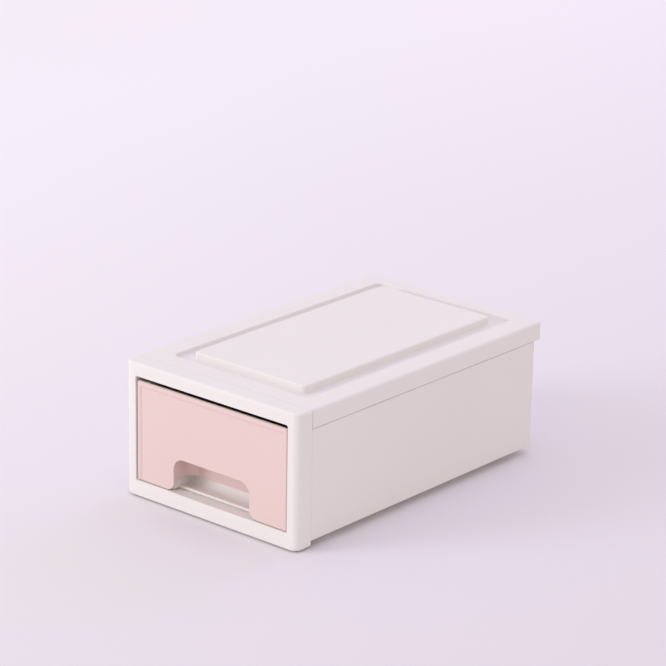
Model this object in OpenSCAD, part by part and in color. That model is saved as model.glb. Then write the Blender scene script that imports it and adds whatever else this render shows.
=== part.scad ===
// Stackable desktop drawer box: a flat-packed plastic cabinet with one sliding drawer.
// Origin: centre of the footprint, on the floor. +Z up, +X to the right, -Y out of the front.
// All sizes are in millimetres.

/* [Box] */
// Overall width
box_w = 165; // [145:1:200]
// Overall depth, from the front of the frame to the back of the cover
box_d = 272; // [230:1:330]
// Height from the floor to the rim of the cover
rim_h = 101.2; // [85:0.1:130]
// Wall thickness of the front frame and the cover
wall = 2.2; // [1.8:0.1:2.6]

/* [Front frame] */
// Depth of the frame, front to back
frame_d = 14; // [12:0.5:18]
// Width of each upright of the frame
frame_side = 10.4; // [10:0.1:14]
// Height of the frame's top bar
frame_top = 10.1; // [9:0.1:13]
// Height of the frame's bottom bar
frame_bottom = 12; // [11.5:0.5:15]
// Radius of the two front upright edges, seen from above
frame_r = 6.5; // [5:0.5:9]
// Radius of the frame's bottom corners, seen from the front
foot_r = 3; // [1:0.5:4]
// Radius of the frame's long top front edge
lip_r = 1.8; // [0.6:0.1:2]
// Radius of the frame's long bottom front edge
foot_edge_r = 0.8; // [0.4:0.1:2]
// Radius of the corners of the drawer opening
opening_r = 1.5; // [0.5:0.1:3]
// How far the locating flanges reach behind the frame
flange_l = 8; // [5:0.5:10]

/* [Cover] */
// Height of the skirt that hangs over the side panels
skirt_h = 14; // [11:0.5:18]
// Radius of the cover's top edge
cover_edge_r = 2; // [0.8:0.1:2.1]
// Radius of the cover's two back corners, seen from above
cover_corner_r = 3; // [2.2:0.1:6]
// Width of the flat rim left and right of the channel
rim_side = 18.2; // [15:0.1:22]
// Width of the flat rim between the frame and the channel
rim_front = 15.7; // [13:0.1:20]
// Width of the flat rim behind the channel
rim_back = 12.8; // [12:0.1:18]
// Depth of the channel below the rim
channel_depth = 3.3; // [2:0.1:4]
// Width of the channel at the sides
channel_side = 11.6; // [8:0.1:15]
// Width of the channel at the front
channel_front = 9.6; // [7:0.1:14]
// Width of the channel at the back
channel_back = 11.8; // [8:0.1:15]
// Radius of the channel's outer corners, seen from above
channel_r = 5.5; // [3:0.1:8]
// Height of the raised platform above the rim
platform_rise = 2.9; // [1.5:0.1:3]
// Radius of the platform's corners, seen from above
platform_r = 4; // [3:0.1:8]
// Radius of the platform's top edge
platform_edge_r = 1.4; // [0.6:0.1:2]

/* [Panels] */
// Thickness of the side, back and bottom panels
panel_t = 2.4; // [2:0.1:3]
// How far the side panels sit in from the frame and the cover
panel_step = 0.4; // [0.2:0.1:0.8]
// How far the back panel sits in from the back of the cover
back_inset = 8.4; // [6:0.1:9]
// Height of the panels' lower edge above the floor
floor_gap = 4.7; // [3.2:0.1:5]
// Thickness of the side panels' tongue inside the cover
tongue_t = 2; // [1.6:0.1:2.6]
// Height of the jog that joins tongue and side panel
jog_h = 3; // [2:0.5:5]
// Height of the joining flanges on the bottom panel
edge_flange_h = 8; // [6:0.5:10]
// Depth of the joining flanges on the back panel
back_flange_d = 7; // [5:0.5:9]

/* [Stacking] */
// Width of the ring under the bottom panel that locates round a platform below
ring_t = 3; // [2:0.1:4]
// Play between the ring and the platform of the box below
ring_play = 0.8; // [0.4:0.1:2]
// Width of the two skids that stand on the rim of the box below
skid_w = 5; // [3:0.5:7]
// Distance of the skids from the box's side
skid_inset = 10; // [9:0.5:11]

/* [Runners] */
// How far the runner ribs stand above the sill
runner_rise = 0.2; // [0.1:0.1:1.2]
// Thickness of the two runner ribs that carry the drawer
runner_t = 3; // [2:0.1:5]
// Distance from the drawer's side to the middle of its runner
runner_inset = 8; // [7:0.5:14]
// Thickness of the two guide rails beside the drawer
guide_t = 2; // [1.6:0.1:2.4]
// Height of the guide rails above the runner ribs
guide_h = 9; // [5:0.5:14]

/* [Drawer front] */
// Thickness of the drawer front
face_t = 2.4; // [2.2:0.1:4]
// How far the drawer front sits behind the front of the frame
face_recess = 0.5; // [0.3:0.1:2]
// Gap at each side of the drawer front
face_gap_side = 1; // [0.6:0.1:1.5]
// Gap above the drawer front
face_gap_top = 3.1; // [1:0.1:4]
// Gap below the drawer front
face_gap_bottom = 0.5; // [0.3:0.1:1]
// Radius of the drawer front's top corners
face_r = 1.5; // [0.5:0.1:3]
// Width of the raised border at the sides
border_side = 4; // [2.5:0.1:7]
// Width of the raised border at the top
border_top = 4.4; // [2.5:0.1:8]
// How far the field lies behind the border
field_drop = 0.7; // [0.3:0.1:1.2]

/* [Finger grip] */
// Width of the finger cut-out
grip_w = 72; // [60:1:84]
// Height of the finger cut-out above the sill
grip_h = 26; // [20:0.5:30]
// Radius of the cut-out's top corners
grip_r = 9; // [5:0.5:12]
// Radius of the flares at the foot of the cut-out
grip_flare_r = 6.5; // [3:0.5:8]
// Depth of the finger pocket behind the drawer front
pocket_d = 18.1; // [14:0.1:22]
// Wall thickness of the finger pocket
pocket_t = 2; // [1.6:0.1:2.6]
// Radius of the pocket's back corners, seen from above
pocket_r = 8; // [4:0.5:10]
// Headroom of the pocket above the cut-out
pocket_headroom = 6; // [3:0.5:9]
// Height of the pocket walls' lower edge above the sill
pocket_edge_h = 7.7; // [5:0.1:10]

/* [Drawer tray] */
// Wall thickness of the tray
tray_t = 2; // [1.6:0.1:2.6]
// Gap between the tray and the frame at each side
tray_gap = 2; // [1.8:0.1:3]
// How far the tray's rim lies below the top of the opening
tray_drop = 6; // [4:0.5:12]
// Radius of the tray's corners and bottom edges
tray_r = 4; // [3:0.5:6]
// Radius of the upright corners where the tray wraps the finger pocket
wrap_r = 2; // [1:0.5:4]
// Thickness of the floor under the finger pocket
wrap_floor_t = 1.2; // [0.8:0.1:1.5]
// Radius at the foot of the wall behind the finger pocket
wrap_foot_r = 6; // [1:0.5:6]
// Distance from the drawer front to the raised lip of that floor
lip_setback = 7; // [3:0.1:9]
// Thickness of the lip, front to back
lip_t = 1.6; // [1:0.1:3]
// Distance from the tray's back to the front of its stops
stop_setback = 46.4; // [30:1:80]
// Length of each stop
stop_l = 12; // [8:1:20]
// How far the stops rise above the lower edge of the frame's top bar
stop_catch = 2.6; // [1.5:0.1:2.8]

/* [Joints and clearances] */
// Clearance between pieces that are pushed together
fit = 0.2; // [0.1:0.05:0.3]
// Gap that shows between the cover's skirt and the side panels
seam = 0.3; // [0.2:0.05:0.5]
// Running clearance under the drawer, and between its walls and a pocket
run_gap = 0.3; // [0.2:0.05:0.5]
// Clearance between the tray and each guide rail
guide_gap = 0.5; // [0.3:0.05:0.8]
// Clearance between the closed tray and the back panel
rear_gap = 0.5; // [0.3:0.1:1]
// Length of each snap catch
catch_l = 10; // [6:0.5:14]
// Height of each snap catch
catch_h = 2; // [1.4:0.1:2.6]
// How far each snap catch stands out
catch_out = 0.9; // [0.5:0.1:1.2]
// Distance between snap catches along the depth
catch_pitch = 75; // [50:1:85]
// Distance between snap catches up the height
catch_rise = 30; // [20:1:34]
// Width of the snap tabs that hold the drawer front on the tray
tab_w = 8; // [5:0.5:12]
// Thickness of those snap tabs
tab_t = 2.4; // [1.6:0.1:3]
// Distance of those snap tabs from the tray's rim and from its floor
tab_inset = 12; // [8:0.5:16]

/* [Hidden] */
$fn = 64;
eps = 0.5;                                    // overshoot of cutters past a face

warm_white = [0.94, 0.92, 0.915];
blush_pink = [0.93, 0.79, 0.785];

// The box as a whole
half_w = box_w / 2;
y_front = -box_d / 2;
y_back = box_d / 2;
y_seam = y_front + frame_d;                   // where frame and cover meet
skirt_z = rim_h - skirt_h;
rim_under = rim_h - wall;                     // underside of the rim
belly_z = rim_h - channel_depth - wall;       // underside of the channel
inside_cover = half_w - wall;
cover_catch_z = skirt_z + skirt_h / 3;        // height of the catches and ribs inside the skirt

// Drawer opening in the frame
open_half = half_w - frame_side;
open_z0 = frame_bottom;
open_z1 = rim_h - frame_top;
open_mid = (open_z0 + open_z1) / 2;

// Panels
panel_out = half_w - panel_step;
panel_in = panel_out - panel_t;
body_back = y_back - back_inset;
back_in = body_back - panel_t;
floor_top = floor_gap + panel_t;
tongue_out = inside_cover - fit;
tongue_in = min(panel_in, tongue_out) - tongue_t;
panel_top = skirt_z - seam;

// Channel and platform of the cover
channel_half = half_w - rim_side;
channel_y0 = y_seam + rim_front;
channel_y1 = y_back - rim_back;
platform_half = channel_half - channel_side;
platform_y0 = channel_y0 + channel_front;
platform_y1 = channel_y1 - channel_back;
platform_top = rim_h + platform_rise;

// Runners under the drawer
runner_top = open_z0 + runner_rise;
tray_half = open_half - tray_gap;
tray_z0 = runner_top + run_gap;
tray_z1 = open_z1 - tray_drop;
runner_x = tray_half - runner_inset;
guide_in = tray_half + guide_gap;
rail_y0 = y_seam + flange_l + 2 * fit;
rail_y1 = back_in - back_flange_d;

// Drawer front and its finger pocket
face_y0 = y_front + face_recess;
face_y1 = face_y0 + face_t;
face_half = open_half - face_gap_side;
face_z0 = open_z0 + face_gap_bottom;
face_z1 = open_z1 - face_gap_top;
grip_half = grip_w / 2;
grip_top = open_z0 + grip_h;
pocket_z0 = open_z0 + pocket_edge_h;
pocket_z1 = grip_top + pocket_headroom;       // underside of the pocket's roof
pocket_y1 = face_y1 + pocket_d;               // inside of the pocket's back wall

// Tray
tray_y0 = face_y1;
tray_y1 = back_in - rear_gap;
wrap_half = grip_half + pocket_t + run_gap;   // inside of the wrap round the pocket
wrap_y1 = pocket_y1 + pocket_t + run_gap;
wrap_z1 = pocket_z1 + pocket_t + run_gap;
wrap_z0 = tray_z0 + wrap_floor_t;             // floor under the finger pocket
wrap_foot = min(wrap_foot_r, pocket_z0 - wrap_z0);  // its fillet ends below the pocket's edge
lip_y0 = tray_y0 + lip_setback;               // where that floor ends
lip_top = tray_z0 + tray_t;
stop_y0 = tray_y1 - stop_setback;
stop_z1 = open_z1 + stop_catch;
tab_x = (grip_half + face_half) / 2;
tab_out = face_y1 + tray_t + tab_t / 2;       // how far back the snap tabs reach
tab_rows = [tray_z0 + tab_inset, tray_z1 - tab_inset];

// Drawer travel from closed to the stops, for the slide's range
travel = stop_y0 - y_seam;
echo(travel = travel, platform = [2 * platform_half, platform_y1 - platform_y0]);

// ---------- shared shapes ----------

// Rectangle with rounded corners, centred
module rounded_rect(w, d, r) {
    square([w - 2 * r, d], center = true);
    square([w, d - 2 * r], center = true);
    for (sx = [-1, 1], sy = [-1, 1])
        translate([sx * (w / 2 - r), sy * (d / 2 - r)]) circle(r);
}

// Box from one corner to another
module block(from, to) {
    translate(from) cube(to - from);
}

// Upright slab with rounded corners between two heights, spanning x = -half..half and y0..y1
module slab(half, y0, y1, r, z0, z1) {
    translate([0, (y0 + y1) / 2, z0]) linear_extrude(z1 - z0) rounded_rect(2 * half, y1 - y0, r);
}

// Extrudes an outline drawn in x and z along y, from y0 to y1
module along_y(y0, y1) {
    translate([0, y1, 0]) rotate([90, 0, 0]) linear_extrude(y1 - y0) children();
}

// Extrudes an outline drawn in y and z along x, from x0 to x1
module along_x(x0, x1) {
    translate([x0, 0, 0]) rotate([90, 0, 90]) linear_extrude(x1 - x0) children();
}

// What a rounding of radius e takes off an edge, seen along it; the arc's centre is at the distance given
module edge_cut(e, at = 0) {
    translate([at, 0]) difference() {
        square(e + eps);
        circle(e);
    }
}

// Slab whose top edge is rounded with radius e all round
module soft_slab(half, y0, y1, r, e, z0, z1) {
    d = y1 - y0;
    difference() {
        slab(half, y0, y1, r, z0, z1);
        translate([0, (y0 + y1) / 2, z1 - e]) for (turn = [0, 180]) rotate(turn) {
            along_y(-d / 2 - eps, d / 2 + eps) edge_cut(e, half - e);
            rotate(90) along_y(-half - eps, half + eps) edge_cut(e, d / 2 - e);
            translate([half - r, d / 2 - r]) rotate_extrude(angle = 90) edge_cut(e, r - e);
            translate([-half + r, d / 2 - r]) rotate(90) rotate_extrude(angle = 90) edge_cut(e, r - e);
        }
    }
}

// Tub with rounded upright corners and rounded bottom edges, open outline at the top
module tub(half, y0, y1, r, z0, z1) {
    w = 2 * half;
    d = y1 - y0;
    slab(half, y0, y1, r, z0 + r, z1);
    block([-half + r, y0 + r, z0], [half - r, y1 - r, z0 + 2 * r]);
    translate([0, (y0 + y1) / 2, z0 + r]) {
        for (s = [-1, 1]) {
            translate([s * (half - r), 0, 0]) rotate([90, 0, 0])
                cylinder(r = r, h = d - 2 * r, center = true);
            translate([0, s * (d / 2 - r), 0]) rotate([0, 90, 0])
                cylinder(r = r, h = w - 2 * r, center = true);
        }
        for (sx = [-1, 1], sy = [-1, 1])
            translate([sx * (half - r), sy * (d / 2 - r), 0]) sphere(r);
    }
}

// Snap catch on a face that looks along +X; grow makes the matching recess
module catch(x, y, z, grow = 0) {
    block([x - eps, y - catch_l / 2 - grow, z - catch_h / 2 - grow],
          [x + catch_out + grow, y + catch_l / 2 + grow, z + catch_h / 2 + grow]);
}

// Snap catch whose long side stands upright
module upright_catch(x, y, z, grow = 0) {
    block([x - eps, y - catch_h / 2 - grow, z - catch_l / 2 - grow],
          [x + catch_out + grow, y + catch_h / 2 + grow, z + catch_l / 2 + grow]);
}

// Places its children at the catches of the bottom panel, the back panel or the frame
module bottom_catches(grow = 0)
    for (i = [-1 : 1]) catch(panel_in, i * catch_pitch, floor_top + edge_flange_h / 2, grow);
module back_catches(grow = 0)
    for (s = [-1, 1])
        upright_catch(panel_in, back_in - back_flange_d / 2, open_mid + s * catch_rise / 2, grow);
module frame_catches(grow = 0)
    for (s = [-1, 1])
        upright_catch(panel_in - fit, y_seam + flange_l / 2, open_mid + s * catch_rise / 2, grow);

// ---------- front frame ----------

// Outline of the frame from above, with its front upright edges rounded
module frame_plan(inset, y1) {
    r = frame_r - inset;
    half = half_w - inset;
    y0 = y_front + inset;
    translate([-half, y0 + r]) square([2 * half, y1 - y0 - r]);
    translate([-half + r, y0]) square([2 * (half - r), y1 - y0]);
    for (s = [-1, 1]) translate([s * (half - r), y0 + r]) circle(r);
}

// Outline of the frame from the front
module frame_elevation() {
    translate([-half_w, foot_r]) square([box_w, rim_h - foot_r - cover_edge_r]);
    translate([-half_w + foot_r, 0]) square([box_w - 2 * foot_r, rim_h / 2]);
    translate([-half_w + cover_edge_r, rim_h / 2]) square([box_w - 2 * cover_edge_r, rim_h / 2]);
    for (s = [-1, 1]) {
        translate([s * (half_w - foot_r), foot_r]) circle(foot_r);
        translate([s * (half_w - cover_edge_r), rim_h - cover_edge_r]) circle(cover_edge_r);
    }
}

// Outline of the frame from the side, with its long front edges rounded
module frame_profile() {
    edge_r = max(lip_r, foot_edge_r);
    translate([y_front + edge_r, 0]) square([frame_d - edge_r, rim_h]);
    translate([y_front, foot_edge_r]) square([frame_d, rim_h - lip_r - foot_edge_r]);
    translate([y_front + foot_edge_r, 0]) square([frame_d - foot_edge_r, rim_h / 2]);
    translate([y_front + foot_edge_r, foot_edge_r]) circle(foot_edge_r);
    translate([y_front + lip_r, rim_h - lip_r]) circle(lip_r);
}

module opening_outline(grow = 0) {
    w = 2 * (open_half + grow);
    h = open_z1 - open_z0 + 2 * grow;
    translate([0, open_mid]) rounded_rect(w, h, opening_r + grow);
}

// Flanges behind the frame that reach inside the panels and under the cover's rim
module frame_flanges() {
    flange_half = panel_in - fit;
    root = y_front + wall / 2;                // inside the frame's front wall
    reach = y_seam + flange_l;
    for (s = [0, 1]) mirror([s, 0, 0]) {
        block([flange_half - wall, root, open_mid - catch_rise],
              [flange_half, reach, open_mid + catch_rise]);
        frame_catches();
    }
    block([-open_half, root, rim_under - fit - wall], [open_half, reach, rim_under - fit]);
    block([-open_half, root, floor_top + fit], [open_half, reach, floor_top + fit + wall / 2]);
    // pads under the bottom panel's tongue
    for (s = [-1, 1])
        translate([s * open_half / 2, 0, 0])
            block([-frame_side / 2, root, wall - eps], [frame_side / 2, y_seam, floor_gap]);
}

module front_frame() {
    color(warm_white) difference() {
        union() {
            difference() {
                intersection() {
                    linear_extrude(rim_h) frame_plan(0, y_seam);
                    along_y(y_front, y_seam) frame_elevation();
                    along_x(-half_w, half_w) frame_profile();
                }
                // hollow back of the four bars
                intersection() {
                    translate([0, 0, wall]) linear_extrude(rim_h - 2 * wall) frame_plan(wall, y_seam + eps);
                    along_y(y_front, y_seam + eps) difference() {
                        translate([0, rim_h / 2]) square([box_w, rim_h], center = true);
                        opening_outline(wall);
                    }
                }
            }
            intersection() {
                frame_flanges();
                linear_extrude(rim_h) frame_plan(wall / 2, y_seam + flange_l);
            }
        }
        // drawer opening
        along_y(y_front - eps, y_seam + flange_l + eps) opening_outline();
    }
}

// ---------- cover ----------

// Catches inside the skirt; grow and reach make the windows for them in the side panel's tongue
module cover_catches(grow = 0, reach = catch_out) {
    long = catch_l / 2 + grow;
    high = catch_h / 2 + grow;
    for (i = [-1 : 1])
        translate([0, i * catch_pitch, cover_catch_z])
            block([tongue_out - reach, -long, -high], [inside_cover + wall / 2, long, high]);
}

module top_cover() {
    color(warm_white) {
        difference() {
            union() {
                difference() {
                    soft_slab(half_w, y_front, y_back, cover_corner_r, cover_edge_r, skirt_z, rim_h);
                    slab(channel_half, channel_y0, channel_y1, channel_r, rim_h - channel_depth, rim_h + eps);
                }
                soft_slab(platform_half, platform_y0, platform_y1, platform_r, platform_edge_r,
                          rim_h - channel_depth - wall / 2, platform_top);
            }
            // the front belongs to the frame
            block([-box_w, y_front - eps, 0], [box_w, y_seam, 2 * rim_h]);
            // hollow underside of constant thickness
            difference() {
                slab(inside_cover, y_front, y_back - wall, cover_corner_r - wall / 2,
                     skirt_z - eps, rim_under);
                slab(channel_half + wall, channel_y0 - wall, channel_y1 + wall, channel_r + wall,
                     belly_z, rim_h);
            }
            slab(platform_half - wall, platform_y0 + wall, platform_y1 - wall, platform_r - wall / 2,
                 belly_z - eps, platform_top - wall);
        }
        for (s = [0, 1]) mirror([s, 0, 0]) cover_catches();
        // rib that holds the top of the back panel
        block([-open_half, body_back + fit, cover_catch_z],
              [open_half, body_back + fit + wall, rim_under + wall / 2]);
    }
}

// ---------- panels ----------

// Right-hand side panel; the left one is its mirror image
module side_panel() {
    color(warm_white) difference() {
        union() {
            block([panel_in, y_seam, floor_gap], [panel_out, body_back, panel_top]);
            block([tongue_in, y_seam, panel_top - jog_h], [panel_out, body_back, panel_top]);
            block([tongue_in, y_seam, panel_top - jog_h], [tongue_out, body_back, rim_under]);
        }
        bottom_catches(fit);
        back_catches(fit);
        frame_catches(fit);
        cover_catches(fit, tongue_t + eps);
    }
}

module right_side_panel() { side_panel(); }

module left_side_panel() { mirror([1, 0, 0]) side_panel(); }

module back_panel() {
    color(warm_white) {
        difference() {
            block([-panel_in, back_in, floor_gap], [panel_in, body_back, belly_z]);
            // corners cut back round the side panels' tongues
            for (s = [0, 1]) mirror([s, 0, 0])
                block([tongue_in - fit, back_in - eps, panel_top - jog_h - fit],
                      [panel_in + eps, body_back + eps, rim_h]);
        }
        for (s = [0, 1]) mirror([s, 0, 0]) {
            block([panel_in - panel_t, back_in - back_flange_d, open_mid - catch_rise],
                  [panel_in, body_back, open_mid + catch_rise]);
            back_catches();
        }
    }
}

// Outline of the platform below, grown on all sides, from a height up to the bottom panel
module ring_slab(grow, z0) {
    slab(platform_half + grow, platform_y0 - grow, platform_y1 + grow, platform_r + grow, z0, floor_gap);
}

module bottom_panel() {
    color(warm_white) {
        block([-panel_in, y_seam, floor_gap], [panel_in, back_in, floor_top]);
        // front tongue in the frame's bottom bar
        block([-open_half, y_front + wall + fit, floor_gap], [open_half, y_seam, floor_top]);
        for (s = [0, 1]) mirror([s, 0, 0]) {
            // joining flange with its catches
            block([panel_in - panel_t, rail_y0, floor_top], [panel_in, rail_y1, floor_top + edge_flange_h]);
            bottom_catches();
            // runner rib
            translate([runner_x, 0, 0])
                block([-runner_t / 2, rail_y0, floor_top], [runner_t / 2, rail_y1, runner_top]);
            // guide rail
            block([guide_in, rail_y0, floor_top], [guide_in + guide_t, rail_y1, runner_top + guide_h]);
            // skid that stands on the rim of the box below
            block([half_w - skid_inset - skid_w, rail_y0, 0], [half_w - skid_inset, rail_y1, floor_gap]);
        }
        // ring that locates round the platform of the box below
        difference() {
            ring_slab(ring_play + ring_t, 0);
            ring_slab(ring_play, -eps);
        }
    }
}

// ---------- drawer ----------

// Outline of the finger cut-out in x and z, open at the bottom
module grip_outline() {
    foot = open_z0 - eps;
    translate([-grip_half, foot]) square([grip_w, grip_top - grip_r - foot]);
    translate([-grip_half + grip_r, foot]) square([grip_w - 2 * grip_r, grip_top - foot]);
    for (s = [-1, 1]) translate([s * (grip_half - grip_r), grip_top - grip_r]) circle(grip_r);
    // flares at the foot
    for (s = [0, 1]) mirror([s, 0]) difference() {
        translate([grip_half - eps, face_z0 - eps]) square([grip_flare_r + eps, grip_flare_r + eps]);
        translate([grip_half + grip_flare_r, face_z0 + grip_flare_r]) circle(grip_flare_r);
        translate([grip_half + grip_flare_r, face_z0 - 2 * eps]) square([grip_flare_r, 2 * grip_flare_r]);
    }
}

// Space inside the finger pocket, or round it when grown
module pocket_space(half, y1, r, z0, z1) {
    translate([0, 0, z0]) linear_extrude(z1 - z0) {
        translate([-half, face_y0]) square([2 * half, y1 - r - face_y0]);
        translate([-half + r, face_y0]) square([2 * (half - r), y1 - face_y0]);
        for (s = [-1, 1]) translate([s * (half - r), y1 - r]) circle(r);
    }
}

module drawer_front() {
    color(blush_pink) {
        difference() {
            // face plate with rounded top corners
            along_y(face_y0, face_y1) {
                translate([-face_half, face_z0])
                    square([2 * face_half, face_z1 - face_r - face_z0]);
                translate([-face_half + face_r, face_z0])
                    square([2 * (face_half - face_r), face_z1 - face_z0]);
                for (s = [-1, 1]) translate([s * (face_half - face_r), face_z1 - face_r]) circle(face_r);
            }
            // field set back inside the border
            block([-face_half + border_side, face_y0 - eps, face_z0 - eps],
                  [face_half - border_side, face_y0 + field_drop, face_z1 - border_top]);
            along_y(face_y0 - eps, face_y1 + eps) grip_outline();
        }
        // finger pocket, open at the front and the bottom
        difference() {
            pocket_space(grip_half + pocket_t, pocket_y1 + pocket_t, pocket_r + pocket_t,
                         pocket_z0, pocket_z1 + pocket_t);
            pocket_space(grip_half, pocket_y1, pocket_r, pocket_z0 - eps, pocket_z1);
            block([-half_w, face_y0 - eps, 0], [half_w, face_y1 - pocket_t / 2, rim_h]);
            along_y(face_y0 - eps, face_y1 + eps) grip_outline();
        }
        // snap tabs through the tray's front wall
        for (sx = [-1, 1], z = tab_rows)
            translate([sx * tab_x, 0, z])
                block([-tab_w / 2, face_y1 - eps, -tab_t / 2], [tab_w / 2, tab_out, tab_t / 2]);
    }
}

// Corner between two walls, filled up to a quarter circle that touches both; it reaches a little into them
module corner_strip(r) {
    difference() {
        translate([-eps, -eps]) square(r + eps);
        translate([r, r]) circle(r);
    }
}

// Stop at the tray's rim: upright front face, sloping back
module drawer_stop() {
    foot = tray_z1 - tray_r;
    along_x(tray_half - tray_t, tray_half)
        polygon([[stop_y0, foot], [stop_y0, stop_z1], [stop_y0 + stop_l / 3, stop_z1],
                 [stop_y0 + stop_l, tray_z1], [stop_y0 + stop_l, foot]]);
}

module drawer_tray() {
    color(warm_white) {
        difference() {
            union() {
                difference() {
                    tub(tray_half, tray_y0, tray_y1, tray_r, tray_z0, tray_z1);
                    tub(tray_half - tray_t, tray_y0 + tray_t, tray_y1 - tray_t, tray_r - tray_t / 2,
                        tray_z0 + tray_t, tray_z1 + eps);
                }
                // wrap round the finger pocket
                intersection() {
                    pocket_space(wrap_half + tray_t, wrap_y1 + tray_t, wrap_r + tray_t,
                                 tray_z0, wrap_z1 + tray_t);
                    block([-half_w, tray_y0, 0], [half_w, y_back, rim_h]);
                }
                // fillet between the wrap and the tray's floor
                along_x(-wrap_half - tray_t, wrap_half + tray_t)
                    translate([wrap_y1 + tray_t, tray_z0 + tray_t]) corner_strip(tray_r - tray_t / 2);
            }
            // room for the finger pocket, rounded at the foot of its back wall
            difference() {
                pocket_space(wrap_half, wrap_y1, wrap_r, wrap_z0, wrap_z1);
                along_x(-wrap_half - eps, wrap_half + eps)
                    translate([wrap_y1, wrap_z0]) mirror([1, 0]) corner_strip(wrap_foot);
                block([-half_w, lip_y0, tray_z0], [half_w, lip_y0 + lip_t, lip_top]);
            }
            // the floor ends in a raised lip a little behind the drawer front
            block([-wrap_half, tray_y0 - eps, tray_z0 - eps], [wrap_half, lip_y0, lip_top + eps]);
            // slots for the drawer front's snap tabs
            for (sx = [-1, 1], z = tab_rows)
                translate([sx * tab_x, 0, z])
                    block([-tab_w / 2 - fit, tray_y0 - eps, -tab_t / 2 - fit],
                          [tab_w / 2 + fit, tray_y0 + tray_t + eps, tab_t / 2 + fit]);
        }
        for (s = [0, 1]) mirror([s, 0, 0]) drawer_stop();
    }
}

front_frame();
top_cover();
left_side_panel();
right_side_panel();
back_panel();
bottom_panel();
drawer_tray();
drawer_front();
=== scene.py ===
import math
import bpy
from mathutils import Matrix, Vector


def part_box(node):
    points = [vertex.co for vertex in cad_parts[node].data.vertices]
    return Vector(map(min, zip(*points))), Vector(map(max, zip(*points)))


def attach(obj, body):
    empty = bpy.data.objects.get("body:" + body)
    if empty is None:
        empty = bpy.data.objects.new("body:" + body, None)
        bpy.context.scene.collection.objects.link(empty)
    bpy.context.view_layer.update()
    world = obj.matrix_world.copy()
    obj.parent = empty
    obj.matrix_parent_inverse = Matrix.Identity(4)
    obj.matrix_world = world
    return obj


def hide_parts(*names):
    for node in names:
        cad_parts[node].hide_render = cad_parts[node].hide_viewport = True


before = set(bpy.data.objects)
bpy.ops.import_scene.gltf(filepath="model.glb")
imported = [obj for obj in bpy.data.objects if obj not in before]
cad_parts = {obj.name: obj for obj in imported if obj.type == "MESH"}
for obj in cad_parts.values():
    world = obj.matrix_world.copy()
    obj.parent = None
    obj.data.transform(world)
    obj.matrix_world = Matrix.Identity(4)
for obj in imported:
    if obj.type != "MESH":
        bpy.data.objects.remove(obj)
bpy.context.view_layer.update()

# Looks of a stackable desktop drawer box: a white plastic cabinet of six push-fitted mouldings and a drawer
# of two, with a blush pink front. Every moulding is built here with its real edge roundings and stands for
# the CAD node of the same name. Sizes are in millimetres until a mesh is done, and then in metres.

from types import SimpleNamespace

import bmesh
import bpy
from mathutils import Matrix, Vector

MM = 0.001


def span(node):
    """The box of a CAD node in millimetres, as x0, x1, y0, y1, z0, z1."""
    low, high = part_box(node)
    values = [round(v / MM, 2) for pair in zip(low, high) for v in pair]
    return SimpleNamespace(**dict(zip(("x0", "x1", "y0", "y1", "z0", "z1"), values)))


# ---------- sizes from the frame ----------

frame_box = span("front_frame")
cover_box = span("top_cover")
side_box = span("right_side_panel")
tray_box = span("drawer_tray")
face_box = span("drawer_front")

half_w = frame_box.x1
y_front = frame_box.y0
y_back = cover_box.y1
y_seam = cover_box.y0                # where frame and cover meet
rim_h = frame_box.z1
skirt_z = cover_box.z0
platform_top = cover_box.z1

# ---------- sizes that the frame's boxes don't give ----------

wall = 2.2                           # front frame and cover
inside_cover = half_w - wall
rim_under = rim_h - wall

frame_side = 10.4                    # width of the frame's uprights
frame_top = 10.1                     # height of its top bar
frame_bottom = 12.0                  # height of its bottom bar
frame_r = 6.5                        # its front upright edges, seen from above
foot_r = 3.0                         # its bottom corners, seen from the front
lip_r = 1.8                          # its long top edge
foot_edge_r = 1.0                    # its long bottom edge
heel_r = 1.3                         # its lower back corner, seen from the side
opening_r = 1.5
opening_edge = 0.35                  # rounding of the edge round the drawer opening

open_half = half_w - frame_side
open_z0 = frame_bottom
open_z1 = rim_h - frame_top
open_mid = (open_z0 + open_z1) / 2

cover_edge_r = 2.0
cover_corner_r = 3.0
skirt_edge = 0.7                     # rounding of the skirt's lower edge
rim_side = 18.2                      # width of the rim at the sides, the front and the back
rim_front = 15.7
rim_back = 12.8
channel_half = half_w - rim_side
channel_y0 = y_seam + rim_front
channel_y1 = y_back - rim_back
channel_r = 5.5
channel_depth = 3.3
channel_edge = 0.5                   # rounding of the rim's edge along the channel
channel_fillet = 0.9                 # rounding at the foot of the channel's walls
channel_side = 11.6                  # width of the channel at the sides, the front and the back
channel_front = 9.6
channel_back = 11.8
belly_z = rim_h - channel_depth - wall
platform_half = channel_half - channel_side
platform_y0 = channel_y0 + channel_front
platform_y1 = channel_y1 - channel_back
platform_r = 4.0
platform_edge_r = 1.4

fit = 0.2                            # between pieces that are pushed together
seam = 0.3                           # between the skirt and the side panels
panel_t = 2.4
panel_out = side_box.x1
panel_in = panel_out - panel_t
panel_top = skirt_z - seam
floor_gap = side_box.z0
floor_top = floor_gap + panel_t
body_back = side_box.y1
back_in = body_back - panel_t
tongue_t = 2.0                       # tongue of a side panel that reaches up inside the skirt
tongue_out = inside_cover - fit
tongue_in = min(panel_in, tongue_out) - tongue_t
jog_h = 3.0
edge_flange_h = 8.0
back_flange_d = 7.0
flange_l = frame_box.y1 - y_seam
rail_y0 = y_seam + flange_l + 2 * fit
rail_y1 = back_in - back_flange_d

catch_l = 10.0
catch_h = 2.0
catch_out = 0.9
catch_pitch = 75.0
catch_rise = 30.0
cover_catch_z = skirt_z + (rim_h - skirt_z) / 3

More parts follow.
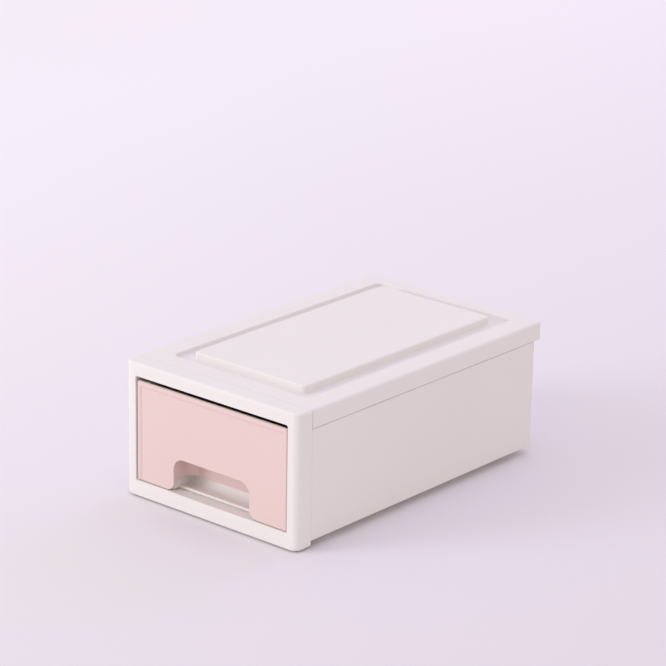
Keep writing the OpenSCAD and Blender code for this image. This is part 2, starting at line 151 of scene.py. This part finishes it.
tray_half = tray_box.x1
tray_y0 = tray_box.y0
tray_y1 = tray_box.y1
tray_z0 = tray_box.z0
tray_drop = 6.0                      # from the top of the opening down to the tray's rim
tray_z1 = open_z1 - tray_drop
tray_t = 2.0
tray_r = 4.0
tray_edge = 0.5                      # rounding of its rim
stop_setback = 46.4
stop_z1 = tray_box.z1
stop_y0 = tray_y1 - stop_setback
stop_l = 12.0
stop_edge = 0.2

runner_rise = 0.2                    # how far the runners stand over the opening's sill
runner_top = open_z0 + runner_rise
runner_t = 3.0
runner_inset = 8.0
runner_x = tray_half - runner_inset
guide_gap = 0.5
guide_in = tray_half + guide_gap
guide_t = 2.0
guide_h = 9.0
skid_w = 5.0
skid_inset = 10.0
skid_x0 = half_w - skid_inset - skid_w
ring_play = 0.8                      # between the stacking ring and the platform of the box below
ring_t = 3.0
ring_edge = 0.5
rib_root = 1.0                       # overlap of the bottom panel with its ribs and its front strip

face_y0 = face_box.y0
face_y1 = tray_y0
face_half = face_box.x1
face_z0 = face_box.z0
face_z1 = face_box.z1
face_r = 1.5
border_side = 4.0
border_top = 4.4
field_drop = 0.7
field_y = face_y0 + field_drop
border_t = 2.0                       # raised border, with what is sunk into the plate behind it
border_edge = 1.2                    # rounding of its outer edge
border_slope = 1.0                   # width of its slope down to the field
field_edge = 0.6                     # rounding of the cut-out's front edge
face_back_edge = 0.8                 # rounding of the drawer front's back edge

grip_half = 36.0
grip_h = 26.0
grip_top = open_z0 + grip_h
grip_r = 9.0
flare_r = 6.5
pocket_t = 2.0
pocket_r = 8.0
pocket_y1 = face_box.y1 - pocket_t   # inside of the pocket's back wall
pocket_edge_h = 7.7
pocket_headroom = 6.0
pocket_z0 = open_z0 + pocket_edge_h
pocket_z1 = grip_top + pocket_headroom
pocket_root = 0.9                    # how far the pocket is sunk into the plate
hood_edge = 1.6                      # rounding of its lower edge, inside
roof_edge = 0.6                      # rounding of its roof, outside
roof_fillet = 1.0                    # rounding of its roof, inside

run_gap = 0.3                        # between the pocket and the tray's wall that wraps round it
wrap_r = 2.0
wrap_edge = 0.8
wrap_root_y = 0.6                    # where that wall starts, behind and above the tray's outside
wrap_root_z = 0.4
wrap_half = grip_half + pocket_t + run_gap
wrap_y1 = pocket_y1 + pocket_t + run_gap
wrap_z1 = pocket_z1 + pocket_t + run_gap
wrap_floor_t = 1.2                   # floor under the finger pocket
wrap_z0 = tray_z0 + wrap_floor_t
wrap_foot_r = 6.0                    # foot of the wall behind it
lip_setback = 7.0                    # where that floor ends in a raised lip
lip_y0 = tray_y0 + lip_setback
lip_t = 1.6
lip_top = tray_z0 + tray_t

tab_w = 8.0
tab_t = 2.4
tab_x = (grip_half + face_half) / 2
tab_out = face_y1 + tray_t + tab_t / 2
tab_inset = 12.0
tab_rows = (tray_z0 + tab_inset, tray_z1 - tab_inset)

seam_gap = 0.2                       # what shows between the frame and the pieces behind it
edge = 0.3                           # rounding of every other edge
past = 1.0                           # overshoot of cutters
sunk = 0.5                           # how far a rib, tab or catch reaches into what carries it
slack = 0.1                          # tolerance where edges are picked by their place
least_r = 0.05                       # smallest corner radius of a loop
smooth_below = 33                    # degrees; edges that bend more are shaded sharp
floor_drop = 1.2                     # the backdrop lies lower, for the dark line under the box

# ---------- outlines ----------


def arc(x, y, r, start, end, steps=10):
    """Points on a circle from one angle to another, in degrees."""
    angles = [math.radians(start + (end - start) * i / steps) for i in range(steps + 1)]
    return [(x + r * math.cos(a), y + r * math.sin(a)) for a in angles]


def rounded_rect(x0, x1, y0, y1, r):
    """Rectangle with rounded corners, anticlockwise."""
    centres = ((x1 - r, y1 - r), (x0 + r, y1 - r), (x0 + r, y0 + r), (x1 - r, y0 + r))
    return [p for i, (x, y) in enumerate(centres) for p in arc(x, y, r, 90 * i, 90 * i + 90)]


def rect(x0, x1, y0, y1):
    return [(x1, y1), (x0, y1), (x0, y0), (x1, y0)]


def grown(points, d):
    """An anticlockwise outline moved out by d, point by point."""
    result = []
    for before, here, after in zip(points[-1:] + points[:-1], points, points[1:] + points[:1]):
        normals = []
        for a, b in ((before, here), (here, after)):
            run = Vector((b[0] - a[0], b[1] - a[1])).normalized()
            normals.append(Vector((run.y, -run.x)))
        push = (normals[0] + normals[1]) * d / (1 + normals[0].dot(normals[1]))
        result.append((here[0] + push.x, here[1] + push.y))
    return result


def bite(r, height):
    """How far a rounding of radius r has drawn an outline in, at a height from its end."""
    return r - math.sqrt(max(0, r * r - (r - height) ** 2)) if height < r else 0


def quarter(r, steps=5):
    """(inset, depth) pairs of a rounding, from the side face to the end face."""
    angles = [math.pi / 2 * i / steps for i in range(steps + 1)]
    return [(r * (1 - math.cos(a)), r * (1 - math.sin(a))) for a in angles]


# ---------- solids ----------

PLANES = {
    "z": lambda u, v, w: (u, v, w),  # outline in x and y
    "y": lambda u, v, w: (u, w, v),  # outline in x and z
    "x": lambda u, v, w: (w, u, v),  # outline in y and z
}


def lofted(loops):
    """Closed solid through loops of equally many points, capped at both ends."""
    bm = bmesh.new()
    rings = [[bm.verts.new(p) for p in loop] for loop in loops]
    for a, b in zip(rings, rings[1:]):
        for i in range(len(a)):
            j = (i + 1) % len(a)
            bm.faces.new((a[i], a[j], b[j], b[i]))
    bm.faces.new(rings[0])
    bm.faces.new(rings[-1])
    bmesh.ops.remove_doubles(bm, verts=bm.verts, dist=1e-4)
    bmesh.ops.recalc_face_normals(bm, faces=bm.faces)
    mesh = bpy.data.meshes.new("solid")
    bm.to_mesh(mesh)
    bm.free()
    obj = bpy.data.objects.new("solid", mesh)
    bpy.context.scene.collection.objects.link(obj)
    return obj


def prism(outline, low, high, plane="z", low_edge=0, high_edge=0):
    """Outline extruded between two places along an axis, with its end edges rounded."""
    place = PLANES[plane]
    start = [(inset, low + depth) for inset, depth in reversed(quarter(low_edge))]
    end = [(inset, high - depth) for inset, depth in quarter(high_edge)]
    levels = (start if low_edge else [(0, low)]) + (end if high_edge else [(0, high)])
    return lofted([[place(u, v, w) for u, v in (grown(outline, -inset) if inset else outline)]
                   for inset, w in levels])


def block(x0, x1, y0, y1, z0, z1):
    return prism(rect(x0, x1, y0, y1), z0, z1)


def mirrored(solid):
    """A second solid, mirrored left to right."""
    twin = solid.copy()
    twin.data = solid.data.copy()
    twin.data.transform(Matrix.Scale(-1, 4, Vector((1, 0, 0))))
    twin.data.flip_normals()
    bpy.context.scene.collection.objects.link(twin)
    return twin


def both(solid):
    """A solid and its mirror image."""
    return [solid, mirrored(solid)]


def combine(base, operation, tools):
    """The base with the tools cut away, joined on or kept in common, as one new mesh."""
    for tool in tools:
        modifier = base.modifiers.new(operation, "BOOLEAN")
        modifier.operation = operation
        modifier.solver = "EXACT"
        modifier.object = tool
    bpy.context.view_layer.update()
    graph = bpy.context.evaluated_depsgraph_get()
    mesh = bpy.data.meshes.new_from_object(base.evaluated_get(graph))
    base.modifiers.clear()
    base.data = mesh
    for tool in tools:
        bpy.data.objects.remove(tool)
    return base


def cut(base, *tools):
    return combine(base, "DIFFERENCE", tools)


def join(base, *tools):
    return combine(base, "UNION", tools)


def soften(solid, width, where=None, steps=3):
    """Rounds the sharp edges whose two ends satisfy where."""
    sharp = math.radians(30)
    bm = bmesh.new()
    bm.from_mesh(solid.data)
    bmesh.ops.remove_doubles(bm, verts=bm.verts, dist=1e-3)
    bmesh.ops.dissolve_limit(bm, angle_limit=math.radians(0.5), verts=bm.verts, edges=bm.edges)
    picked = [e for e in bm.edges
              if len(e.link_faces) == 2 and e.calc_face_angle(0) > sharp
              and (where is None or all(where(v.co) for v in e.verts))]
    bmesh.ops.bevel(bm, geom=picked, offset=width, offset_type="OFFSET", segments=steps, profile=0.5,
                    affect="EDGES", clamp_overlap=False, loop_slide=True, miter_outer="ARC")
    bm.to_mesh(solid.data)
    bm.free()
    return solid


def near(a, b, within=0.01):
    return abs(a - b) < within


def finish_piece(solid, node, body, material):
    """Turns a finished solid into the visible piece that stands for a CAD node."""
    solid.name = node + "_moulding"
    solid.data.name = solid.name
    bm = bmesh.new()
    bm.from_mesh(solid.data)
    bmesh.ops.remove_doubles(bm, verts=bm.verts, dist=1e-3)
    bmesh.ops.dissolve_degenerate(bm, edges=bm.edges, dist=1e-4)
    bm.to_mesh(solid.data)
    bm.free()
    solid.data.transform(Matrix.Scale(MM, 4))
    for polygon in solid.data.polygons:
        polygon.use_smooth = True
    solid.data.set_sharp_from_angle(angle=math.radians(smooth_below))
    shade = solid.modifiers.new("flat_faces", "WEIGHTED_NORMAL")
    shade.keep_sharp = True
    shade.weight = 90
    solid.data.materials.clear()
    solid.data.materials.append(material)
    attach(solid, body)
    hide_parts(node)
    return solid


# ---------- snap catches ----------


def side_catch(x, y, z, grow=0, upright=False):
    """Snap catch on a face that looks along +X, or the recess for it."""
    along, up = (catch_h, catch_l) if upright else (catch_l, catch_h)
    return block(x - sunk, x + catch_out + grow, y - along / 2 - grow, y + along / 2 + grow,
                 z - up / 2 - grow, z + up / 2 + grow)


def bottom_catches(grow=0):
    return [side_catch(panel_in, i * catch_pitch, floor_top + edge_flange_h / 2, grow) for i in (-1, 0, 1)]


def back_catches(grow=0):
    return [side_catch(panel_in, back_in - back_flange_d / 2, open_mid + s * catch_rise / 2, grow, True)
            for s in (-1, 1)]


def frame_catches(grow=0):
    return [side_catch(panel_in - fit, y_seam + flange_l / 2, open_mid + s * catch_rise / 2, grow, True)
            for s in (-1, 1)]


def cover_catches(grow=0, reach=catch_out):
    return [block(tongue_out - reach, inside_cover + wall / 2,
                  i * catch_pitch - catch_l / 2 - grow, i * catch_pitch + catch_l / 2 + grow,
                  cover_catch_z - catch_h / 2 - grow, cover_catch_z + catch_h / 2 + grow)
            for i in (-1, 0, 1)]


def with_twins(solids):
    return [twin for solid in solids for twin in both(solid)]


# ---------- front frame ----------


def front_plan(half, y0, y1, r):
    """Outline from above, rounded at its front corners and square at the back."""
    return ([(half, y1), (-half, y1)] + arc(-half + r, y0 + r, r, 180, 270, 16)
            + arc(half - r, y0 + r, r, 270, 360, 16))


def frame_plan(side, front, back):
    """Outline of the frame, drawn in by a different amount at its sides, front and back."""
    return front_plan(half_w - side, y_front + front, y_seam - seam_gap - back, frame_r - (side + front) / 2)


def frame_skin():
    """The frame's outside: rounded along its foot, its top edges and its lower back corner."""
    heights = [inset for inset, depth in quarter(foot_r, 9)]
    loops = [[(x, y, z) for x, y in frame_plan(bite(foot_r, z), bite(foot_edge_r, z), bite(heel_r, z))]
             for z in heights]
    loops += [[(x, y, rim_h - depth) for x, y in frame_plan(inset, bite(lip_r, depth), 0)]
              for inset, depth in quarter(cover_edge_r)]
    return lofted(loops)


def opening(grow=0):
    return rounded_rect(-open_half - grow, open_half + grow, open_z0 - grow, open_z1 + grow, opening_r + grow)


def front_frame(material):
    solid = frame_skin()
    # hollow back of the four bars
    plan = front_plan(half_w - wall, y_front + wall, y_seam + past, frame_r - wall)
    hollow = cut(prism(plan, wall, rim_h - wall), prism(opening(wall), y_front, y_seam + 2 * past, "y"))
    cut(solid, hollow)
    # locating flanges that reach inside the panels and under the cover's rim
    flange_half = panel_in - fit
    root = y_front + wall / 2
    reach = y_seam + flange_l
    flanges = both(block(flange_half - wall, flange_half, root, reach,
                         open_mid - catch_rise, open_mid + catch_rise))
    flanges += with_twins(frame_catches())
    flanges += [block(-open_half, open_half, root, reach, rim_under - fit - wall, rim_under - fit),
                block(-open_half, open_half, root, reach, floor_top + fit, floor_top + fit + wall / 2)]
    flanges += both(block(open_half / 2 - frame_side / 2, open_half / 2 + frame_side / 2, root,
                          y_seam - seam_gap, wall - sunk, floor_gap))
    join(solid, *flanges)
    cut(solid, prism(opening(), y_front - past, reach + past, "y"))

    def at_mouth(co):
        within = abs(co.x) < open_half + slack and open_z0 - slack < co.z < open_z1 + slack
        return within and near(co.y, y_front)

    soften(solid, opening_edge, at_mouth, steps=4)
    soften(solid, edge, lambda co: co.y > y_seam - seam_gap - slack / 2)
    return finish_piece(solid, "front_frame", "cabinet", material)


# ---------- cover ----------


def level_loop(half, y0, y1, r, z):
    """Rounded rectangle at one height, as a loop of a lofted skin."""
    return [(x, y, z) for x, y in rounded_rect(-half, half, y0, y1, max(r, least_r))]


def cover_shell():
    """Skin of the cover from the middle of the platform out, down the skirt and back up inside."""

    def platform(grow, z):
        return level_loop(platform_half + grow, platform_y0 - grow, platform_y1 + grow, platform_r + grow, z)

    def channel(grow, z):
        return level_loop(channel_half + grow, channel_y0 - grow, channel_y1 + grow, channel_r + grow, z)

    def skirt(grow, z):
        return level_loop(half_w + grow, y_front - grow, y_back + grow, cover_corner_r + grow, z)

    bed = rim_h - channel_depth
    loops = [platform(-inset, platform_top - depth) for inset, depth in reversed(quarter(platform_edge_r, 7))]
    loops += [platform(inset, bed + depth) for inset, depth in quarter(channel_fillet)]
    loops += [channel(-inset, bed + depth) for inset, depth in reversed(quarter(channel_fillet))]
    loops += [channel(inset, rim_h - depth) for inset, depth in quarter(channel_edge)]
    loops += [skirt(-inset, rim_h - depth) for inset, depth in reversed(quarter(cover_edge_r, 7))]
    loops += [skirt(-inset, skirt_z + depth) for inset, depth in quarter(skirt_edge, 4)]
    loops += [skirt(-wall, skirt_z), skirt(-wall, rim_under),
              channel(wall, rim_under), channel(wall, belly_z),
              platform(-wall, belly_z), platform(-wall, platform_top - wall)]
    return lofted(loops)


def top_cover(material):
    solid = cover_shell()
    cut(solid, block(-half_w - past, half_w + past, y_front - past, y_seam + seam_gap, 0, rim_h + 10 * past))
    back_rib = block(-open_half, open_half, body_back + fit, body_back + fit + wall,
                     cover_catch_z, rim_under + wall / 2)
    join(solid, back_rib, *with_twins(cover_catches()))
    soften(solid, edge, lambda co: near(co.y, y_seam + seam_gap))
    soften(solid, edge, lambda co: co.z < rim_h - channel_depth and co.y > y_seam + past)
    return finish_piece(solid, "top_cover", "cabinet", material)


# ---------- panels ----------


def side_panel():
    jog_z = panel_top - jog_h
    outline = [(panel_in, floor_gap), (panel_out, floor_gap), (panel_out, panel_top), (tongue_out, panel_top),
               (tongue_out, rim_under), (tongue_in, rim_under), (tongue_in, jog_z), (panel_in, jog_z)]
    solid = prism(outline, y_seam + seam_gap, body_back, "y")
    cut(solid, *bottom_catches(fit), *back_catches(fit), *frame_catches(fit),
        *cover_catches(fit, tongue_out - tongue_in + past))
    return soften(solid, edge)


def right_side_panel(material):
    return finish_piece(side_panel(), "right_side_panel", "cabinet", material)


def left_side_panel(material):
    solid = side_panel()
    twin = mirrored(solid)
    bpy.data.objects.remove(solid)
    return finish_piece(twin, "left_side_panel", "cabinet", material)


def back_panel(material):
    solid = block(-panel_in, panel_in, back_in, body_back, floor_gap, belly_z)
    cut(solid, *both(block(tongue_in - fit, panel_in + past, back_in - past, body_back + past,
                           panel_top - jog_h - fit, rim_h)))
    flange = block(panel_in - panel_t, panel_in, back_in - back_flange_d, body_back,
                   open_mid - catch_rise, open_mid + catch_rise)
    join(solid, *both(flange), *with_twins(back_catches()))
    soften(solid, edge)
    return finish_piece(solid, "back_panel", "cabinet", material)


def ring_outline(grow):
    """Outline of the platform of the box below, grown on all sides."""
    return rounded_rect(-platform_half - grow, platform_half + grow, platform_y0 - grow, platform_y1 + grow,
                        platform_r + grow)


def bottom_panel(material):
    solid = block(-panel_in, panel_in, y_seam + seam_gap, back_in, floor_gap, floor_top)
    root = floor_gap + rib_root
    ring = cut(prism(ring_outline(ring_play + ring_t), 0, root, low_edge=ring_edge),
               prism(ring_outline(ring_play), -past, floor_gap))
    strip = block(-open_half, open_half, y_front + wall + fit, y_seam + rib_root, floor_gap, floor_top)
    parts = [ring, strip]
    parts += both(block(panel_in - panel_t, panel_in, rail_y0, rail_y1, floor_gap, floor_top + edge_flange_h))
    parts += with_twins(bottom_catches())
    parts += both(block(runner_x - runner_t / 2, runner_x + runner_t / 2, rail_y0, rail_y1, root, runner_top))
    parts += both(block(guide_in, guide_in + guide_t, rail_y0, rail_y1, root, runner_top + guide_h))
    parts += both(block(skid_x0, skid_x0 + skid_w, rail_y0, rail_y1, 0, root))
    join(solid, *parts)
    soften(solid, edge)
    return finish_piece(solid, "bottom_panel", "cabinet", material)


# ---------- drawer ----------


def face_top():
    """The drawer front's upper edge from right to left, with its rounded corners."""
    return (arc(face_half - face_r, face_z1 - face_r, face_r, 0, 90, 8)
            + arc(-face_half + face_r, face_z1 - face_r, face_r, 90, 180, 8))


def face_outline():
    """Outline of the drawer front with its finger cut-out, in x and z, anticlockwise."""
    foot = face_z0 + flare_r
    return ([(-face_half, face_z0)]
            + arc(-grip_half - flare_r, foot, flare_r, 270, 360)
            + arc(-grip_half + grip_r, grip_top - grip_r, grip_r, 180, 90, 12)
            + arc(grip_half - grip_r, grip_top - grip_r, grip_r, 90, 0, 12)
            + arc(grip_half + flare_r, foot, flare_r, 180, 270)
            + [(face_half, face_z0)] + face_top())


def raised_border():
    """The border, an arch round the field: rounded outside, and with a slope down to the field inside."""
    blank = [(-face_half, face_z0), (face_half, face_z0)] + face_top()
    inner = face_half - border_side
    field = rect(-inner, inner, face_z0 - 2 * past, face_z1 - border_top)
    steps = ((border_slope, face_y0 - past), (border_slope, face_y0), (0, field_y), (0, face_y1 + past))
    hollow = lofted([[(x, y, z) for x, z in grown(field, d)] for d, y in steps])
    return cut(prism(blank, face_y0, face_y0 + border_t, "y", border_edge), hollow)


def pocket_outline(half, y1, r, y0):
    """Finger pocket from above: straight at the front, rounded at the back."""
    return ([(-half, y0), (half, y0)] + arc(half - r, y1 - r, r, 0, 90, 12)
            + arc(-half + r, y1 - r, r, 90, 180, 12))


def drawer_front(material):
    solid = prism(face_outline(), field_y, face_y1, "y", field_edge, face_back_edge)
    pocket = prism(pocket_outline(grip_half + pocket_t, pocket_y1 + pocket_t, pocket_r + pocket_t,
                                  face_y1 - pocket_root),
                   pocket_z0, pocket_z1 + pocket_t, "z", edge, roof_edge)
    outline = pocket_outline(grip_half, pocket_y1, pocket_r, face_y0)
    levels = [(hood_edge, pocket_z0 - past)]
    levels += [(inset, pocket_z0 + depth) for inset, depth in reversed(quarter(hood_edge))]
    levels += [(-inset, pocket_z1 - depth) for inset, depth in quarter(roof_fillet)]
    hand = lofted([[(x, y, z) for x, y in grown(outline, d)] for d, z in levels])
    cut(pocket, hand)
    tabs = [block(s * tab_x - tab_w / 2, s * tab_x + tab_w / 2, face_y1 - sunk, tab_out,
                  z - tab_t / 2, z + tab_t / 2)
            for s in (-1, 1) for z in tab_rows]
    join(solid, raised_border(), pocket, *tabs)
    return finish_piece(solid, "drawer_front", "drawer", material)


def tray_shell():
    """Skin of the tray from the middle of its floor out, up the walls, over the rim and down inside."""
    inner_r = tray_r - tray_t / 2

    def outer(inset, z):
        return level_loop(tray_half - inset, tray_y0 + inset, tray_y1 - inset, tray_r - inset, z)

    def inner(inset, z):
        return level_loop(tray_half - tray_t - inset, tray_y0 + tray_t + inset, tray_y1 - tray_t - inset,
                          inner_r - inset, z)

    loops = [outer(inset, tray_z0 + depth) for inset, depth in reversed(quarter(tray_r - least_r, 8))]
    loops += [outer(inset, tray_z1 - depth) for inset, depth in quarter(tray_edge, 4)]
    loops += [inner(-inset, tray_z1 - depth) for inset, depth in reversed(quarter(tray_edge, 4))]
    loops += [inner(inset, tray_z0 + tray_t + depth) for inset, depth in quarter(inner_r - least_r, 8)]
    return lofted(loops)


def corner_strip(r):
    """Section between two walls and a quarter circle that touches both."""
    return [(-sunk, -sunk), (r, -sunk), (r, 0)] + arc(r, r, r, 270, 180)[1:] + [(-sunk, r)]


def moved(outline, u, v, flip=False):
    """Outline set at a place, mirrored in its first axis where flip says so."""
    points = [(u - a if flip else u + a, v + b) for a, b in outline]
    return points[::-1] if flip else points


def drawer_tray(material):
    solid = tray_shell()
    wrap = prism(pocket_outline(wrap_half + tray_t, wrap_y1 + tray_t, wrap_r + tray_t,
                                tray_y0 + wrap_root_y),
                 tray_z0 + wrap_root_z, wrap_z1 + tray_t, "z", 0, wrap_edge)
    fillet = prism(moved(corner_strip(tray_r - tray_t / 2), wrap_y1 + tray_t, tray_z0 + tray_t),
                   -wrap_half - tray_t, wrap_half + tray_t, "x")
    join(solid, wrap, fillet)
    hollow = prism(pocket_outline(wrap_half, wrap_y1, wrap_r, tray_y0 - past), wrap_z0, wrap_z1)
    cut(hollow, prism(moved(corner_strip(wrap_foot_r), wrap_y1, wrap_z0, flip=True),
                      -wrap_half - past, wrap_half + past, "x"),
        block(-half_w, half_w, lip_y0, lip_y0 + lip_t, tray_z0, lip_top))
    before_lip = block(-wrap_half, wrap_half, tray_y0 - past, lip_y0, tray_z0 - past, lip_top + past / 2)
    slots = [block(s * tab_x - tab_w / 2 - fit, s * tab_x + tab_w / 2 + fit, tray_y0 - past,
                   tray_y0 + tray_t + past, z - tab_t / 2 - fit, z + tab_t / 2 + fit)
             for s in (-1, 1) for z in tab_rows]
    cut(solid, hollow, before_lip, *slots)
    soften(solid, edge, lambda co: near(co.z, lip_top) and abs(co.x) < wrap_half + slack
           and lip_y0 - slack < co.y < lip_y0 + lip_t + slack)
    foot = tray_z1 - tray_r
    stop = [(stop_y0, foot), (stop_y0 + stop_l, foot), (stop_y0 + stop_l, tray_z1),
            (stop_y0 + stop_l / 3, stop_z1), (stop_y0, stop_z1)]
    join(solid, *both(prism(stop, tray_half - tray_t, tray_half, "x", stop_edge, stop_edge)))
    return finish_piece(solid, "drawer_tray", "drawer", material)


# ---------- materials ----------


def satin_plastic(name, colour, roughness=0.42, gloss=0.5, bleed=(1.0, 0.85, 0.8)):
    """Moulded plastic: faint cloudiness in colour and gloss, and the fine grain of a satin mould."""
    darkest, lightest = 0.975, 1.015     # share of the colour where the clouds are darkest and lightest
    gloss_spread = 0.05                  # how much the roughness changes either way
    material = bpy.data.materials.new(name)
    material.use_nodes = True
    nodes, links = material.node_tree.nodes, material.node_tree.links
    shader = nodes["Principled BSDF"]
    place = nodes.new("ShaderNodeTexCoord")

    def noise(scale, detail):
        node = nodes.new("ShaderNodeTexNoise")
        node.inputs["Scale"].default_value = scale
        node.inputs["Detail"].default_value = detail
        links.new(place.outputs["Object"], node.inputs["Vector"])
        return node.outputs["Fac"]

    def ramp(value, low, high):
        node = nodes.new("ShaderNodeMapRange")
        node.inputs["From Min"].default_value = 0.3
        node.inputs["From Max"].default_value = 0.7
        node.inputs["To Min"].default_value = low
        node.inputs["To Max"].default_value = high
        links.new(value, node.inputs["Value"])
        return node.outputs["Result"]

    tint = nodes.new("ShaderNodeMix")
    tint.data_type = "RGBA"
    tint.inputs["A"].default_value = [c * darkest for c in colour] + [1]
    tint.inputs["B"].default_value = [min(1, c * lightest) for c in colour] + [1]
    links.new(noise(scale=14, detail=3), tint.inputs["Factor"])
    links.new(tint.outputs["Result"], shader.inputs["Base Color"])
    dull = ramp(noise(scale=55, detail=4), roughness - gloss_spread, roughness + gloss_spread)
    links.new(dull, shader.inputs["Roughness"])
    shader.inputs["IOR"].default_value = 1.49
    shader.inputs["Specular IOR Level"].default_value = gloss
    shader.inputs["Subsurface Weight"].default_value = 0.06
    shader.inputs["Subsurface Radius"].default_value = bleed
    shader.inputs["Subsurface Scale"].default_value = 0.0025

    fine = nodes.new("ShaderNodeBump")
    fine.inputs["Strength"].default_value = 0.12
    fine.inputs["Distance"].default_value = 0.00003
    links.new(noise(scale=2600, detail=2), fine.inputs["Height"])
    wavy = nodes.new("ShaderNodeBump")
    wavy.inputs["Strength"].default_value = 0.15
    wavy.inputs["Distance"].default_value = 0.0002
    links.new(noise(scale=22, detail=1), wavy.inputs["Height"])
    links.new(fine.outputs["Normal"], wavy.inputs["Normal"])
    links.new(wavy.outputs["Normal"], shader.inputs["Normal"])
    return material


def falloff_painted_paper(name, shaded_colour, lit_colour, shaded_x, lit_x):
    """Paper backdrop that blends from one colour at one x to another at a second x, faintly uneven. The blend
    is painted light: a painted falloff of the lamps' light and a broad painted shade, darker towards +X and
    lighter towards -X.
    """
    material = bpy.data.materials.new(name)
    material.use_nodes = True
    nodes, links = material.node_tree.nodes, material.node_tree.links
    shader = nodes["Principled BSDF"]
    shader.inputs["Roughness"].default_value = 0.9
    shader.inputs["Specular IOR Level"].default_value = 0.2
    place = nodes.new("ShaderNodeTexCoord")
    cloud = nodes.new("ShaderNodeTexNoise")
    cloud.inputs["Scale"].default_value = 2.5
    cloud.inputs["Detail"].default_value = 2
    links.new(place.outputs["Object"], cloud.inputs["Vector"])
    tint = nodes.new("ShaderNodeMix")
    tint.data_type = "RGBA"
    tint.inputs["A"].default_value = (*shaded_colour, 1)
    tint.inputs["B"].default_value = (*lit_colour, 1)
    axes = nodes.new("ShaderNodeSeparateXYZ")
    links.new(place.outputs["Object"], axes.inputs["Vector"])
    # painted light: the colour runs from the shaded end to the lit end along X, a painted falloff of the
    # lamps' light across the floor
    reach = nodes.new("ShaderNodeMapRange")
    reach.inputs["From Min"].default_value = shaded_x
    reach.inputs["From Max"].default_value = lit_x
    links.new(axes.outputs["X"], reach.inputs["Value"])
    uneven = nodes.new("ShaderNodeMath")
    uneven.operation = "MULTIPLY_ADD"
    uneven.inputs[1].default_value = 0.06
    links.new(cloud.outputs["Fac"], uneven.inputs[0])
    links.new(reach.outputs["Result"], uneven.inputs[2])
    links.new(uneven.outputs["Value"], tint.inputs["Factor"])
    links.new(tint.outputs["Result"], shader.inputs["Base Color"])
    return material


# ---------- stage ----------


def make_camera():
    """The photograph's view, fitted to the box's straight edges."""
    yaw, pitch, roll = (math.radians(a) for a in (40.452, 19.107, 1.021))
    focal_length = 159.56
    place = (1.3077, -1.5396, 0.8059)
    back = Vector((math.sin(yaw) * math.cos(pitch), -math.cos(yaw) * math.cos(pitch), math.sin(pitch)))
    level = Vector((math.cos(yaw), math.sin(yaw), 0))
    up = back.cross(level)
    right = level * math.cos(roll) + up * math.sin(roll)
    above = up * math.cos(roll) - level * math.sin(roll)
    data = bpy.data.cameras.new("camera")
    data.sensor_width = 36
    data.lens = focal_length
    data.clip_start, data.clip_end = 0.05, 50
    camera = bpy.data.objects.new("camera", data)
    camera.matrix_world = Matrix((right, above, back)).transposed().to_4x4()
    camera.location = place
    bpy.context.scene.collection.objects.link(camera)
    bpy.context.scene.camera = camera


def area_light(name, place, size, power, colour, glare=True):
    """A soft lamp that looks at the middle of the box; without glare it leaves no highlight."""
    aim = Vector((0, 0, 0.05))
    data = bpy.data.lights.new(name, "AREA")
    data.size = size
    data.energy = power
    data.color = colour
    lamp = bpy.data.objects.new(name, data)
    lamp.location = place
    lamp.rotation_euler = (Vector(place) - aim).to_track_quat("Z", "Y").to_euler()
    lamp.visible_camera = False
    lamp.visible_glossy = glare
    bpy.context.scene.collection.objects.link(lamp)


def make_world(seen, glow, strength):
    """Even light all round; only the camera sees the backdrop's colour in its place."""
    world = bpy.data.worlds.new("studio")
    bpy.context.scene.world = world
    world.use_nodes = True
    nodes, links = world.node_tree.nodes, world.node_tree.links
    light = nodes["Background"]
    light.inputs["Color"].default_value = (*glow, 1)
    light.inputs["Strength"].default_value = strength
    backdrop = nodes.new("ShaderNodeBackground")
    backdrop.inputs["Color"].default_value = (*seen, 1)
    path = nodes.new("ShaderNodeLightPath")
    choice = nodes.new("ShaderNodeMixShader")
    links.new(path.outputs["Is Camera Ray"], choice.inputs["Fac"])
    links.new(light.outputs["Background"], choice.inputs[1])
    links.new(backdrop.outputs["Background"], choice.inputs[2])
    links.new(choice.outputs["Shader"], nodes["World Output"].inputs["Surface"])


def make_floor(material):
    """A wide round floor, a little below the box so that a dark line shows under it."""
    bm = bmesh.new()
    bmesh.ops.create_circle(bm, cap_ends=True, radius=9, segments=96)
    mesh = bpy.data.meshes.new("floor")
    bm.to_mesh(mesh)
    bm.free()
    mesh.materials.append(material)
    floor = bpy.data.objects.new("floor", mesh)
    floor.location.z = -floor_drop * MM
    bpy.context.scene.collection.objects.link(floor)


# ---------- the scene ----------

bpy.context.scene.view_settings.view_transform = "Standard"
make_camera()
make_world(seen=(0.88, 0.82, 0.925), glow=(1, 0.95, 0.854), strength=0.837)
area_light("key", (-2.28, -3.38, 1.02), 1.6, 35.3, (0.85, 1, 0.85), glare=False)
area_light("key_high", (-2.07, -3.07, 1.97), 1.6, 31.3, (0.76, 0.67, 1), glare=False)
area_light("top", (0.1, 0.2, 4.0), 2.5, 19.3, (0.12, 0.2, 1))
area_light("back", (0.0, 3.6, 1.9), 2.2, 25.4, (0.6, 0.33, 1))
# the floor's colour carries painted light: painted darker towards +X, away from the key lamps, and lighter
# towards -X
make_floor(falloff_painted_paper("backdrop_paper_painted_falloff", shaded_colour=(0.795, 0.745, 0.79), lit_colour=(0.935, 0.918, 0.957),
                 shaded_x=0.35, lit_x=-0.95))

white = satin_plastic("white_plastic", (0.86, 0.82, 0.815))
pink = satin_plastic("pink_plastic", (0.81, 0.62, 0.599), roughness=0.38, gloss=0.7, bleed=(1, 0.4, 0.3))

front_frame(white)
top_cover(white)
right_side_panel(white)
left_side_panel(white)
back_panel(white)
bottom_panel(white)
drawer_tray(white)
drawer_front(pink)
